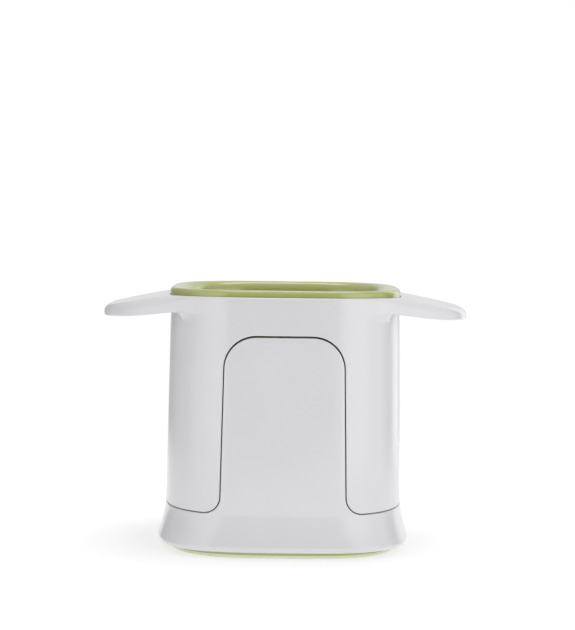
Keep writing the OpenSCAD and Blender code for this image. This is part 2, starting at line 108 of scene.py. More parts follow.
# Matt white board that glows a little, as an overexposed sweep does. It thins out round the object,
# so that no horizon shows and the upright faces mirror the tent; from below it isn't there.
paint = bpy.data.materials.new("matt_white_table")
paint.use_nodes = True
tree = paint.node_tree
tree.nodes.clear()
place = add_node(tree, "ShaderNodeTexCoord")
span = add_node(tree, "ShaderNodeVectorMath", {"operation": "LENGTH"}, i0=place.outputs["Object"])
edge = add_node(tree, "ShaderNodeMapRange", {"interpolation_type": "SMOOTHSTEP"}, i0=span.outputs["Value"],
                i1=TABLE_FADE[0], i2=TABLE_FADE[1])
board = add_node(tree, "ShaderNodeBsdfDiffuse", Color=linear("#d4d4d4"))
glow = add_node(tree, "ShaderNodeEmission", Color=(1, 1, 1, 1), Strength=TABLE_GLOW)
matt = add_node(tree, "ShaderNodeAddShader", i0=board.outputs[0], i1=glow.outputs[0])
clear = add_node(tree, "ShaderNodeBsdfTransparent")
side = tree.nodes.new("ShaderNodeNewGeometry")
gone = add_node(tree, "ShaderNodeMath", {"operation": "MAXIMUM"}, i0=edge.outputs["Result"],
                i1=side.outputs["Backfacing"])
blend = add_node(tree, "ShaderNodeMixShader", i0=gone.outputs[0], i1=matt.outputs[0], i2=clear.outputs[0])
add_node(tree, "ShaderNodeOutputMaterial", Surface=blend.outputs[0])
table.materials.append(paint)

# The brightness of the tent's walls by their bearing from the front, in degrees to the right.
TENT = [(-180, 0.76), (-168, 0.74), (-160, 0.35), (-130, 0.2), (-120, 0.34), (-90, 0.3), (-76, 0.75),
        (-50, 1.45), (-27, 1.7), (-24, 0.08), (21, 0.08), (25, 1.95), (55, 1.9), (64, 1.15), (94, 1.05),
        (102, 0.12), (124, 0.12), (132, 1.4), (150, 1.4), (158, 0.8), (168, 0.74), (180, 0.76)]
world = bpy.data.worlds.new("tent")
bpy.context.scene.world = world
world.use_nodes = True
tree = world.node_tree
tree.nodes.clear()
place = add_node(tree, "ShaderNodeTexCoord")
axes = add_node(tree, "ShaderNodeSeparateXYZ", i0=place.outputs["Generated"])
ahead = add_node(tree, "ShaderNodeMath", {"operation": "MULTIPLY"}, i0=axes.outputs["Y"], i1=-1.0)
bearing = add_node(tree, "ShaderNodeMath", {"operation": "ARCTAN2"}, i0=axes.outputs["X"],
                   i1=ahead.outputs[0])
turn = add_node(tree, "ShaderNodeMapRange", i0=bearing.outputs[0], i1=-math.pi, i2=math.pi)
walls = add_node(tree, "ShaderNodeValToRGB", Fac=turn.outputs["Result"])
while len(walls.color_ramp.elements) < len(TENT):
    walls.color_ramp.elements.new(0.5)
for stop, (degrees, value) in zip(walls.color_ramp.elements, TENT):
    stop.position = (degrees + 180) / 360
    stop.color = (value, value, value * COOL, 1)
rise = add_node(tree, "ShaderNodeMapRange", {"interpolation_type": "SMOOTHSTEP"}, i0=axes.outputs["Z"],
                i1=ROOF_RISE[0], i2=ROOF_RISE[1])
roof = add_node(tree, "ShaderNodeMix", {"data_type": "RGBA"}, i0=rise.outputs["Result"],
                i6=walls.outputs["Color"], i7=(ROOF_LIGHT, ROOF_LIGHT, ROOF_LIGHT * COOL, 1))
# The tent lights the object and shows in its gloss; behind the object, any view sees plain white.
ray = add_node(tree, "ShaderNodeLightPath")
seen = add_node(tree, "ShaderNodeMix", {"data_type": "RGBA"}, i0=ray.outputs["Is Camera Ray"],
                i6=roof.outputs[2], i7=(1, 1, 1, 1))
light = add_node(tree, "ShaderNodeBackground", i0=seen.outputs[2], i1=1.0)
add_node(tree, "ShaderNodeOutputWorld", Surface=light.outputs[0])

# One soft box over the object, a little to the back: it puts the bright line on the cup's rolled rim
# and on the wings' rounded upper edges.
lamp = bpy.data.lights.new("soft_box", "AREA")
lamp.shape = "RECTANGLE"
lamp.size, lamp.size_y = SOFT_BOX_SIZE
lamp.energy = SOFT_BOX_POWER
soft_box = bpy.data.objects.new("soft_box", lamp)
soft_box.matrix_world = (Matrix.Translation(SOFT_BOX_PLACE)
                         @ Matrix.Rotation(math.radians(SOFT_BOX_TILT), 4, "X"))
bpy.context.scene.collection.objects.link(soft_box)

# --- Upper housing ----------------------------------------------------------------------------
# The white moulding that both palms press on: a drafted square body with a handle plate that runs
# out into two drooping wings, and an arched window between the legs at the front and the back.
# Injection moulded in ABS, with small radii on every edge; ribs stiffen the wings from below.

PLATE_Z = 99.2
BODY_W = 91.0
BODY_DRAFT = 3.6
PLAN_POWER = 3.3
WALL = 3.0
LEG_Z = 17.2
WINDOW_TOP_W = 46.2
WINDOW_LOW_W = 48.2
CROWN_DROP = 14.4
WINDOW_Z = PLATE_Z - CROWN_DROP
ARCH_R = 12.5
FOOT_R = 6.3
WING_HALF = 72.5
WING_SIDE = 38.0
WING_SLOPE = 10.5
SLOPE_IN = 1.4          # how far inside the rim the slope starts
BEND = 4.0              # length over which the plate bends down into the slope
CREASE = 20             # the higher, the sharper the corner between the body's outline and the wings'
PLATE_T = 2.8
BAND_H = 6.3
TIP_H = 4.0
BAND_T = 2.4
BAND_DRAFT = 0.4
EDGE_R = 3.9
LIP_R = 0.7
ROOT_R = 2.4
COVE_H = 4.0
BAND_FADE = 1.6
HOLLOW_FADE = 6.0
CUP_GAP = 2.1
RIM_SIDE = 5.5
RIM_FRONT = 3.9
FIT_GAP = 0.3
SEAT_H = 1.3
CUP_HALF = BODY_W / 2 - WALL - CUP_GAP
RIM_X = CUP_HALF + RIM_SIDE
RIM_Y = CUP_HALF + RIM_FRONT
SEAT_Z = PLATE_Z - SEAT_H
SKIRT_Z = SEAT_Z - PLATE_T
HOLE_HALF = CUP_HALF + FIT_GAP
SLOPE_START = RIM_X - SLOPE_IN
BROW_R = 0.9 * (BODY_W / 2 - RIM_Y - FIT_GAP)
SOFT_EDGE = 0.3         # radius that a polished mould leaves on the legs' and the windows' edges
FOOT_STEPS, SIDE_STEPS, ARCH_STEPS = 10, 25, 16     # facets along the window's edge
LEG_COLUMNS = 84
CROWN_COLUMNS = 12
WELD = 0.004            # points of a sheet that are closer than this become one


def mix(a, b, share):
    return a + (b - a) * share


def body_half(z):
    return BODY_W / 2 + BODY_DRAFT / 2 * (1 - z / PLATE_Z)


def plan_radius(turn, ax, ay, power=PLAN_POWER):
    """Radius of a rounded rectangle in direction turn, from 0 at the side to 90 degrees in front."""
    return ((abs(np.cos(turn)) / ax) ** power + (abs(np.sin(turn)) / ay) ** power) ** (-1 / power)


def chord(half, x, power=PLAN_POWER):
    """Half depth of a rounded square at distance x from its middle."""
    return half * (1 - (abs(x) / half) ** power) ** (1 / power)


def bearing_of(half, x, power=PLAN_POWER):
    """Direction of the point of a rounded square's front that lies at distance x from the middle."""
    return np.arctan2(chord(half, x, power), x)


def placed(turn, radius, z):
    """Points at a radius and height in each direction of the right front quarter."""
    return np.stack([radius * np.cos(turn), -radius * np.sin(turn), np.broadcast_to(z, turn.shape)], axis=1)


def ring_row(turn, half, z, power=PLAN_POWER):
    return placed(turn, plan_radius(turn, half, half, power), z)


def face_point(x, z, depth):
    """Point of the body's front at x and z, depth below its surface."""
    return [x, -chord(body_half(z) - depth, x), z]


def rounding(radius, steps):
    """Offset into the face and depth below it, round an edge from its face to its side."""
    return [(radius * (1 - math.sin(a)), radius * (1 - math.cos(a)))
            for a in (math.pi / 2 * i / steps for i in range(steps + 1))]


def window_path(gap, drop):
    """Right edge of the window, gap inside it: x, z and the direction away from the opening."""
    path = []
    low, top = WINDOW_LOW_W / 2 + FOOT_R, WINDOW_TOP_W / 2 - ARCH_R
    for i in range(FOOT_STEPS + 1):
        a = math.radians(mix(270, 180, i / FOOT_STEPS))
        c, s = math.cos(a), math.sin(a)
        path.append((low + (FOOT_R + gap) * c, LEG_Z + FOOT_R + (FOOT_R + gap) * s, -c, -s))
    start = path[-1]
    end = (top + ARCH_R - gap, WINDOW_Z - ARCH_R - drop, 1.0, 0.0)
    for i in range(1, SIDE_STEPS + 1):
        path.append(tuple(mix(np.array(start), np.array(end), i / SIDE_STEPS)))
    for i in range(1, ARCH_STEPS + 1):
        a = math.radians(mix(0, 90, i / ARCH_STEPS))
        c, s = math.cos(a), math.sin(a)
        path.append((top + (ARCH_R - gap) * c, WINDOW_Z - ARCH_R - drop + (ARCH_R - gap) * s, c, s))
    return path


def droop(x):
    """How far the plate has sunk at distance x from the middle."""
    d = abs(x) - SLOPE_START
    return math.tan(math.radians(WING_SLOPE)) / 2 * (d + np.sqrt(d * d + BEND * BEND))


def band_drop(x):
    s = np.maximum(0, (abs(x) - BODY_W / 2) / (WING_HALF - BODY_W / 2))
    return mix(BAND_H, TIP_H, s * s)


def plate_edge(turn):
    """Radius of the plate's outline: the body's and the wings' in one."""
    body = plan_radius(turn, BODY_W / 2, BODY_W / 2)
    wing = plan_radius(turn, WING_HALF, WING_SIDE)
    return body * (1 + (wing / body) ** CREASE) ** (1 / CREASE)


def wing_share(turn, start, reach):
    """Smooth step from 0 to 1 as the plate's overhang past the body grows from start by reach."""
    s = np.clip((plate_edge(turn) - plan_radius(turn, BODY_W / 2, BODY_W / 2) - start) / reach, 0, 1)
    return s * s * (3 - 2 * s)


def plate_point(turn, inset):
    """Points of the plate's outline, drawn in by inset square to it."""
    def outline(a):
        return np.stack([plate_edge(a) * np.cos(a), plate_edge(a) * np.sin(a)], axis=1)
    step = math.radians(0.5)
    along = outline(turn + step) - outline(turn - step)
    along /= np.linalg.norm(along, axis=1)[:, None]
    return outline(turn) - np.asarray(inset).reshape(-1, 1) * np.stack([along[:, 1], -along[:, 0]], axis=1)


BAND_Z = PLATE_Z - droop(BODY_W / 2) - BAND_H


def as_row(flat, z):
    return np.stack([flat[:, 0], -flat[:, 1], np.broadcast_to(z, len(flat))], axis=1)


def body_face(turn, z):
    radius = plan_radius(turn, body_half(z), body_half(z))
    return np.stack([radius * np.cos(turn), radius * np.sin(turn)], axis=1)


def faded(turn, flat, drop, body_z):
    """A row of the band, which fades into the body's face where the plate has no overhang."""
    share = wing_share(turn, 0, BAND_FADE)
    q = mix(body_face(turn, body_z), flat, share[:, None])
    return as_row(q, mix(body_z, PLATE_Z - droop(q[:, 0]) - drop, share))


def lip_row(turn, inset, up):
    p = plate_point(turn, inset * wing_share(turn, 0, BAND_FADE))
    return faded(turn, p, band_drop(p[:, 0]) - up, BAND_Z + up)


def under_row(turn, level, flat, drop):
    """Underside, level 0 at the body's face to 6 at the lip: a cove at the body's corners, and the
    hollow behind the band under the wings."""
    a = math.pi / 2 * level / 6
    low = COVE_H * (1 - math.sin(a))
    hollow = wing_share(turn, BAND_T + LIP_R, HOLLOW_FADE)
    rim = plate_point(turn, LIP_R * wing_share(turn, 0, BAND_FADE))
    q = mix(mix(body_face(turn, PLATE_Z), rim, 1 - math.cos(a)), flat, hollow[:, None])
    return faded(turn, q, mix(band_drop(q[:, 0]) + low, drop, hollow), BAND_Z - low)


def root_row(turn, share):
    a = math.pi / 2 * share
    radius = plan_radius(turn, BODY_W / 2, BODY_W / 2) + ROOT_R * (1 - math.cos(a))
    flat = np.stack([radius * np.cos(turn), radius * np.sin(turn)], axis=1)
    return under_row(turn, 2 * share, flat, PLATE_T + ROOT_R * (1 - math.sin(a)))


def edge_row(turn, share):
    a = math.pi / 2 * share
    over = wing_share(turn, 0, HOLLOW_FADE)
    radius = mix(BROW_R, EDGE_R * band_drop(plate_edge(turn) * np.cos(turn)) / BAND_H, over)
    p = plate_point(turn, radius * (1 - math.cos(a)))
    return as_row(p, PLATE_Z - droop(p[:, 0]) - radius * (1 - math.sin(a)))


def top_row(turn, share):
    start = edge_row(turn, 1.0)
    seat = plan_radius(turn, RIM_X + FIT_GAP, RIM_Y + FIT_GAP)
    end = placed(turn, seat, 0.0)
    flat = mix(start, end, share)
    flat[:, 2] = PLATE_Z - droop(flat[:, 0])
    return flat


def sheets_to_mesh(name, sheets, mirrored=True):
    """One closed shell from sheets of points in rows, repeated in the four quarters."""
    points, faces = [], []
    for sx, sy in ((1, 1), (-1, 1), (1, -1), (-1, -1)) if mirrored else ((1, 1),):
        for sheet in sheets:
            sheet = np.asarray(sheet, dtype=float)
            rows, columns = sheet.shape[:2]
            first = len(points)
            points.extend((sheet.reshape(-1, 3) * [sx * MM, sy * MM, MM]).tolist())
            for i in range(rows - 1):
                for j in range(columns - 1):
                    a = first + i * columns + j
                    faces.append((a, a + 1, a + columns + 1, a + columns))
    mesh = bpy.data.meshes.new(name)
    mesh.from_pydata(points, [], faces)
    shell = bmesh.new()
    shell.from_mesh(mesh)
    bmesh.ops.remove_doubles(shell, verts=shell.verts, dist=WELD * MM)
    bmesh.ops.dissolve_degenerate(shell, dist=WELD / 2 * MM, edges=shell.edges)
    bmesh.ops.recalc_face_normals(shell, faces=shell.faces)
    shell.to_mesh(mesh)
    shell.free()
    return mesh


def finished(name, mesh, material, body, nodes=(), sharp=38):
    """Smooth shading up to its sharp edges, weighted by area, and the piece's body, slot and nodes."""
    piece = bpy.data.objects.new(name, mesh)
    bpy.context.scene.collection.objects.link(piece)
    mesh.shade_smooth()
    mesh.set_sharp_from_angle(angle=math.radians(sharp))
    even = piece.modifiers.new("even", "WEIGHTED_NORMAL")
    even.keep_sharp = True
    plain = bpy.data.meshes.new_from_object(piece.evaluated_get(bpy.context.evaluated_depsgraph_get()))
    piece.modifiers.clear()
    piece.data = plain
    plain.name = name
    plain.materials.clear()
    plain.materials.append(material)
    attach(piece, body)
    if nodes:
        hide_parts(*nodes)


# White ABS from a finely eroded mould: a satin gloss over a barely uneven surface. The eye gets soft
# edged reflections that waver slightly, and no colour of its own beyond a breath of grey violet.
white_abs = bpy.data.materials.new("white_moulded_abs")
white_abs.use_nodes = True
tree = white_abs.node_tree
shader = tree.nodes["Principled BSDF"]
shader.inputs["IOR"].default_value = 1.54
place = add_node(tree, "ShaderNodeTexCoord")
# Eroded grain, about 0.1 mm in the mould, drawn at 0.35 mm so that it shows at all.
grain = add_node(tree, "ShaderNodeTexNoise", Vector=place.outputs["Object"], Scale=1 / 0.00035, Detail=2.0)
# Sink and flow of the melt, 18 mm from one soft swelling to the next.
flow = add_node(tree, "ShaderNodeTexNoise", Vector=place.outputs["Object"], Scale=1 / 0.018, Detail=1.0)
tint = add_node(tree, "ShaderNodeMix", {"data_type": "RGBA"}, i0=flow.outputs[0], i6=linear("#dbdbdd"),
                i7=linear("#dfdee0"))
tree.links.new(tint.outputs[2], shader.inputs["Base Color"])
satin = add_node(tree, "ShaderNodeMapRange", i0=grain.outputs[0], i3=0.15, i4=0.2)
tree.links.new(satin.outputs["Result"], shader.inputs["Roughness"])
fine = add_node(tree, "ShaderNodeBump", Height=grain.outputs[0], Strength=0.04, Distance=0.00001)
wavy = add_node(tree, "ShaderNodeBump", Height=flow.outputs[0], Strength=0.25, Distance=0.00012)
tree.links.new(fine.outputs[0], wavy.inputs["Normal"])
tree.links.new(wavy.outputs[0], shader.inputs["Normal"])

edge_path = window_path(0.0, 0.0)
fractions = np.linspace(1, 0, LEG_COLUMNS + 1)
crown_x = np.linspace(WINDOW_TOP_W / 2 - ARCH_R, 0, CROWN_COLUMNS + 1)
corner_x = WINDOW_LOW_W / 2 + FOOT_R
section = rounding(SOFT_EDGE, 3) + [(0.0, WALL / 2), (0.0, WALL)]


def leg_row(half, x, z):
    """Row of a leg from the window's edge at x round to the middle of its side."""
    return ring_row(bearing_of(half, x) * fractions, half, z)


outer_leg = [leg_row(body_half(z + nz * SOFT_EDGE), x + nx * SOFT_EDGE, z + nz * SOFT_EDGE)
             for x, z, nx, nz in edge_path]
inner_leg = [leg_row(body_half(z) - WALL, x, z) for x, z, nx, nz in edge_path]
window_edge = [[face_point(x + nx * off, z + nz * off, depth) for off, depth in section]
               for x, z, nx, nz in edge_path]
crown_edge = [[face_point(x, WINDOW_Z + off, depth) for off, depth in section] for x in crown_x]
leg_foot = [leg_row(body_half(LEG_Z + off) - depth, corner_x, LEG_Z + off) for off, depth in section]


def turns_at(half):
    """Directions of every column, from the middle of the side to the middle of the front."""
    legs = (bearing_of(half, crown_x[0]) * fractions)[::-1]
    return np.concatenate([legs, bearing_of(half, crown_x[1:])])


turns = turns_at(body_half(WINDOW_Z + SOFT_EDGE))
inner_turns = turns_at(body_half(WINDOW_Z) - WALL)
rows = [ring_row(turns, body_half(z), z)
        for z in np.linspace(WINDOW_Z + SOFT_EDGE, BAND_Z - COVE_H - LIP_R, 4)]
rows += [root_row(turns, s) for s in np.linspace(0, 1, 7)]
for s in np.linspace(0, 1, 4):
    inside = plate_point(turns, BAND_T + LIP_R * (1 - math.sin(math.pi / 2 * s)))
    rows.append(under_row(turns, mix(3, 4, s), inside, PLATE_T + LIP_R * (1 - math.cos(math.pi / 2 * s))))
for s in (0.5, 1.0):
    inner_band = plate_point(turns, BAND_T - BAND_DRAFT * s)
    rows.append(under_row(turns, 4 + s, inner_band, mix(PLATE_T + LIP_R, band_drop(inner_band[:, 0]), s)))
rows += [lip_row(turns, LIP_R * (1 - math.sin(a)), LIP_R * (1 - math.cos(a)))
         for a in np.radians([0, 22.5, 45, 67.5, 90])]
rows += [edge_row(turns, s) for s in np.linspace(0, 1, 11)]
rows += [top_row(turns, s) for s in (0.25, 0.5, 0.75, 1.0)]
rows += [placed(turns, plan_radius(turns, RIM_X + FIT_GAP, RIM_Y + FIT_GAP), SEAT_Z)]
rows += [ring_row(turns, HOLE_HALF, SEAT_Z), ring_row(turns, HOLE_HALF, SKIRT_Z)]
for s in (0.0, 0.5, 1.0):
    z = mix(SKIRT_Z, WINDOW_Z, s)
    rows.append(ring_row(mix(turns, inner_turns, s), body_half(z) - WALL, z))
housing_mesh = sheets_to_mesh("housing", [outer_leg, inner_leg, window_edge, crown_edge, leg_foot, rows])
finished("housing_shell", housing_mesh, white_abs, "upper", ["upper_housing"])

# --- Wing ribs --------------------------------------------------------------------------------
# Ribs that stiffen the wings from below, moulded in one with the housing. One rib follows the wing's
# underside, and Geometry Nodes set three of them 17 mm apart, shortened as the outline asks.

RIB_PITCH = 17.0
RIB_T = 1.6
RIBS = 3


def group_input(tree, name, kind, modifier_values, value):
    """Adds a named input to a Geometry Nodes tree and keeps its identifier with the value it takes."""
    socket = tree.interface.new_socket(name=name, in_out="INPUT", socket_type=kind)
    modifier_values[socket.identifier] = value


def grown(name, mesh, tree, values):
    """The plain mesh that a Geometry Nodes tree makes from a starting mesh."""
    seed = bpy.data.objects.new(name, mesh)
    bpy.context.scene.collection.objects.link(seed)
    modifier = seed.modifiers.new("nodes", "NODES")
    modifier.node_group = tree
    for identifier, value in values.items():
        modifier[identifier] = value
    result = bpy.data.meshes.new_from_object(seed.evaluated_get(bpy.context.evaluated_depsgraph_get()))
    bpy.data.objects.remove(seed)
    shell = bmesh.new()
    shell.from_mesh(result)
    bmesh.ops.remove_doubles(shell, verts=shell.verts, dist=WELD * MM)
    bmesh.ops.recalc_face_normals(shell, faces=shell.faces)
    shell.to_mesh(result)
    shell.free()
    return result


rib_x = np.linspace(BODY_W / 2 - WALL / 2, WING_HALF - BAND_T / 2, 12)
rib_low = [(x, -RIB_T / 2, PLATE_Z - droop(x) - band_drop(x) + LIP_R) for x in rib_x]
rib_high = [(x, -RIB_T / 2, PLATE_Z - droop(x) - PLATE_T / 2) for x in rib_x]
far_low, far_high = ([(x, -y, z) for x, y, z in line] for line in (rib_low, rib_high))
rib_sheets = [[rib_low, rib_high], [far_high, far_low], [rib_high, far_high], [rib_low, far_low]]
for end in (0, -1):
    rib_sheets.append([[rib_low[end], rib_high[end]], [far_low[end], far_high[end]]])
rib_mesh = sheets_to_mesh("wing_rib", rib_sheets, mirrored=False)

tree = bpy.data.node_groups.new("row_of_ribs", "GeometryNodeTree")
rib_values = {}
tree.interface.new_socket(name="Rib", in_out="INPUT", socket_type="NodeSocketGeometry")
group_input(tree, "Ribs", "NodeSocketInt", rib_values, RIBS)
group_input(tree, "Spacing", "NodeSocketFloat", rib_values, RIB_PITCH * MM)
group_input(tree, "Half depth of the wing", "NodeSocketFloat", rib_values, WING_SIDE * MM)
group_input(tree, "Squareness", "NodeSocketFloat", rib_values, PLAN_POWER)
group_input(tree, "Plastic", "NodeSocketMaterial", rib_values, white_abs)
tree.interface.new_socket(name="Ribs", in_out="OUTPUT", socket_type="NodeSocketGeometry")
given = tree.nodes.new("NodeGroupInput")
steps = add_node(tree, "ShaderNodeMath", {"operation": "SUBTRACT"}, i0=given.outputs["Ribs"], i1=1.0)
half_row = add_node(tree, "ShaderNodeMath", {"operation": "MULTIPLY"}, i0=steps.outputs[0], i1=-0.5)
first_y = add_node(tree, "ShaderNodeMath", {"operation": "MULTIPLY"}, i0=half_row.outputs[0],
                   i1=given.outputs["Spacing"])
start = add_node(tree, "ShaderNodeCombineXYZ", Y=first_y.outputs[0])
stride = add_node(tree, "ShaderNodeCombineXYZ", Y=given.outputs["Spacing"])
line = add_node(tree, "GeometryNodeMeshLine", Count=given.outputs["Ribs"])
tree.links.new(start.outputs[0], line.inputs["Start Location"])
tree.links.new(stride.outputs[0], line.inputs["Offset"])
spot = add_node(tree, "ShaderNodeSeparateXYZ", i0=tree.nodes.new("GeometryNodeInputPosition").outputs[0])
side = add_node(tree, "ShaderNodeMath", {"operation": "ABSOLUTE"}, i0=spot.outputs["Y"])
share = add_node(tree, "ShaderNodeMath", {"operation": "DIVIDE"}, i0=side.outputs[0],
                 i1=given.outputs["Half depth of the wing"])
bent = add_node(tree, "ShaderNodeMath", {"operation": "POWER"}, i0=share.outputs[0],
                i1=given.outputs["Squareness"])
left = add_node(tree, "ShaderNodeMath", {"operation": "SUBTRACT"}, i0=1.0, i1=bent.outputs[0])
root = add_node(tree, "ShaderNodeMath", {"operation": "DIVIDE"}, i0=1.0, i1=given.outputs["Squareness"])
length = add_node(tree, "ShaderNodeMath", {"operation": "POWER"}, i0=left.outputs[0], i1=root.outputs[0])
scale = add_node(tree, "ShaderNodeCombineXYZ", X=length.outputs[0], Y=1.0, Z=1.0)
ribs = add_node(tree, "GeometryNodeInstanceOnPoints", Points=line.outputs["Mesh"],
                Instance=given.outputs["Rib"], Scale=scale.outputs[0])
solid = add_node(tree, "GeometryNodeRealizeInstances", i0=ribs.outputs[0])
coat = add_node(tree, "GeometryNodeSetMaterial", Geometry=solid.outputs[0], Material=given.outputs["Plastic"])
out = tree.nodes.new("NodeGroupOutput")
tree.links.new(coat.outputs[0], out.inputs[0])
right_ribs = grown("wing_ribs", rib_mesh, tree, rib_values)
both = bmesh.new()
both.from_mesh(right_ribs)
turned = bmesh.ops.duplicate(both, geom=both.verts[:] + both.edges[:] + both.faces[:])
bmesh.ops.rotate(both, verts=[v for v in turned["geom"] if isinstance(v, bmesh.types.BMVert)],
                 cent=(0, 0, 0), matrix=Matrix.Rotation(math.pi, 3, "Z"))
both.to_mesh(right_ribs)
both.free()
finished("wing_ribs", right_ribs, white_abs, "upper", ["upper_housing"])

# --- Corner posts -----------------------------------------------------------------------------
# Posts in the housing's corners, which take the blade frame's screws, and the thin ribs that steady
# the cup. Moulded in one with the housing, and seen only when it is lifted off and turned over.

RUN_GAP = 0.4
SLOT_PLAY = 0.05
BLADE_H = 6.4
FRAME_Z = LEG_Z + RUN_GAP
BLADE_Z = FRAME_Z + FIT_GAP
CUP_Z = BLADE_Z + BLADE_H + 2 * SLOT_PLAY
CUP_DRAFT = 4.0
CUP_LOW = CUP_HALF - CUP_DRAFT / 2
POST_D = 5.4
SCREW_D = 2.4
THREAD_L = 5.0
HOLE_L = THREAD_L + FIT_GAP
POST_H = THREAD_L + WALL
DIAGONAL = 2 ** (1 / 2 - 1 / PLAN_POWER)
FRAME_BOSS = (body_half(LEG_Z) - WALL) * DIAGONAL - POST_D / 2 - FIT_GAP


def lathe(centre, profile, steps=32):
    """Sheet of a body turned about an upright axis, from a profile of radius and height."""
    angles = np.linspace(0, 2 * math.pi, steps + 1)
    return [[(centre[0] + r * math.cos(a), centre[1] + r * math.sin(a), z) for a in angles]
            for r, z in profile]


def corner(distance, quarter):
    a = math.radians(45 + 90 * quarter)
    return distance * math.cos(a), distance * math.sin(a)


def flat_rib(points, thickness, degrees):
    """Sheets of a flat rib, its outline in radius and height, turned to its bearing."""
    c, s = math.cos(math.radians(degrees)), math.sin(math.radians(degrees))
    walls = []
    for y in (-thickness / 2, thickness / 2):
        walls.append([(r * c - y * s, r * s + y * c, z) for r, z in points + [points[0]]])
    middle = [[sum(v) / (len(w) - 1) for v in zip(*w[:-1])] for w in walls]
    return [walls, [walls[0], [middle[0]] * len(walls[0])], [walls[1], [middle[1]] * len(walls[1])]]


def steadying_rib(low, reach):
    """Outline of a rib between the housing's wall and the cup, from low up into the skirt."""
    top = SKIRT_Z + PLATE_T / 2
    near = CUP_LOW + (low - CUP_Z) / (SEAT_Z - CUP_Z) * (CUP_HALF - CUP_LOW) + FIT_GAP
    return [((body_half(low) - WALL / 2) * reach, low), ((body_half(top) - WALL / 2) * reach, top),
            ((HOLE_HALF + WALL / 2) * reach, top), (HOLE_HALF * reach, SKIRT_Z), (near * reach, low)]


def blind_post(low, high):
    """Profile of a round post with a blind screw hole from below."""
    return [(0.0, high), (POST_D / 2, high), (POST_D / 2, low), (SCREW_D / 2, low),
            (SCREW_D / 2, low + HOLE_L), (0.0, low + HOLE_L)]


post_sheets = []
for quarter in range(4):
    post_sheets.append(lathe(corner(FRAME_BOSS, quarter), blind_post(CUP_Z, CUP_Z + POST_H)))
    post_sheets += flat_rib(steadying_rib(CUP_Z + SLOT_PLAY, DIAGONAL), RIB_T, 45 + 90 * quarter)
for degrees in (0, 180):
    for shift in (-RIB_PITCH / 2, RIB_PITCH / 2):
        post_sheets += [[[(x, y + shift, z) for x, y, z in row] for row in sheet]
                        for sheet in flat_rib(steadying_rib(CUP_Z + POST_H, 1.0), RIB_T, degrees)]
finished("corner_posts", sheets_to_mesh("corner_posts", post_sheets, mirrored=False), white_abs,
         "upper", ["upper_housing"])

# --- Cup --------------------------------------------------------------------------------------
# The lime cup that catches the cubes: a drafted rounded square whose wall rolls over at the top into
# a rim, which lies in a seat in the handle plate. Injection moulded in ABS, and lifts out for use.

CUP_WALL = 2.0
RIM_H = 2.6
RIM_R = 1.6
RIM_FLAT = 0.8
RIM_ROLL = 2.5
RING_COLUMNS = 288
MOUTH = CUP_LOW - CUP_WALL

# Lime ABS, polished more than the white: a thin glassy skin gives clear lines of light on the rim's
# roll, over a dull yellowish green that goes deep olive inside the cup, where it lights itself.
lime_abs = bpy.data.materials.new("lime_moulded_abs")
lime_abs.use_nodes = True
tree = lime_abs.node_tree
shader = tree.nodes["Principled BSDF"]
shader.inputs["IOR"].default_value = 1.54
shader.inputs["Coat Weight"].default_value = 0.6
shader.inputs["Coat Roughness"].default_value = 0.12
place = add_node(tree, "ShaderNodeTexCoord")
# Swirls where the colour masterbatch mixed with the melt, about 12 mm across and hardly visible.
swirl = add_node(tree, "ShaderNodeTexNoise", Vector=place.outputs["Object"], Scale=1 / 0.012, Detail=3.0,
                 Distortion=0.6)
tint = add_node(tree, "ShaderNodeMix", {"data_type": "RGBA"}, i0=swirl.outputs[0], i6=linear("#a9af66"),
                i7=linear("#b0b66e"))
tree.links.new(tint.outputs[2], shader.inputs["Base Color"])
# Eroded grain of 0.1 mm, drawn at 0.35 mm so that it shows.
grain = add_node(tree, "ShaderNodeTexNoise", Vector=place.outputs["Object"], Scale=1 / 0.00035, Detail=2.0)
satin = add_node(tree, "ShaderNodeMapRange", i0=grain.outputs[0], i3=0.2, i4=0.28)
tree.links.new(satin.outputs["Result"], shader.inputs["Roughness"])
fine = add_node(tree, "ShaderNodeBump", Height=grain.outputs[0], Strength=0.12, Distance=0.00001)
tree.links.new(fine.outputs[0], shader.inputs["Normal"])

# One rule shapes every ring of this object: a profile of half width, half depth and height is carried
# round a rounded square. The profile's points are the vertices of the starting mesh.
loft = bpy.data.node_groups.new("rounded_square_loft", "GeometryNodeTree")
loft_values = {}
loft.interface.new_socket(name="Profile", in_out="INPUT", socket_type="NodeSocketGeometry")
group_input(loft, "Squareness", "NodeSocketFloat", loft_values, PLAN_POWER)
group_input(loft, "Columns", "NodeSocketInt", loft_values, RING_COLUMNS)
group_input(loft, "Plastic", "NodeSocketMaterial", loft_values, None)
loft.interface.new_socket(name="Ring", in_out="OUTPUT", socket_type="NodeSocketGeometry")
given = loft.nodes.new("NodeGroupInput")
size = add_node(loft, "GeometryNodeAttributeDomainSize", i0=given.outputs["Profile"])
rows_up = add_node(loft, "ShaderNodeMath", {"operation": "ADD"}, i0=size.outputs["Point Count"], i1=1.0)
columns = add_node(loft, "ShaderNodeMath", {"operation": "ADD"}, i0=given.outputs["Columns"], i1=1.0)
sheet = add_node(loft, "GeometryNodeMeshGrid")
loft.links.new(columns.outputs[0], sheet.inputs["Vertices X"])
loft.links.new(rows_up.outputs[0], sheet.inputs["Vertices Y"])
index = loft.nodes.new("GeometryNodeInputIndex")
strip = add_node(loft, "ShaderNodeMath", {"operation": "DIVIDE"}, i0=index.outputs[0], i1=rows_up.outputs[0])
column = add_node(loft, "ShaderNodeMath", {"operation": "FLOOR"}, i0=strip.outputs[0])
row = add_node(loft, "ShaderNodeMath", {"operation": "FLOORED_MODULO"}, i0=index.outputs[0],
               i1=rows_up.outputs[0])
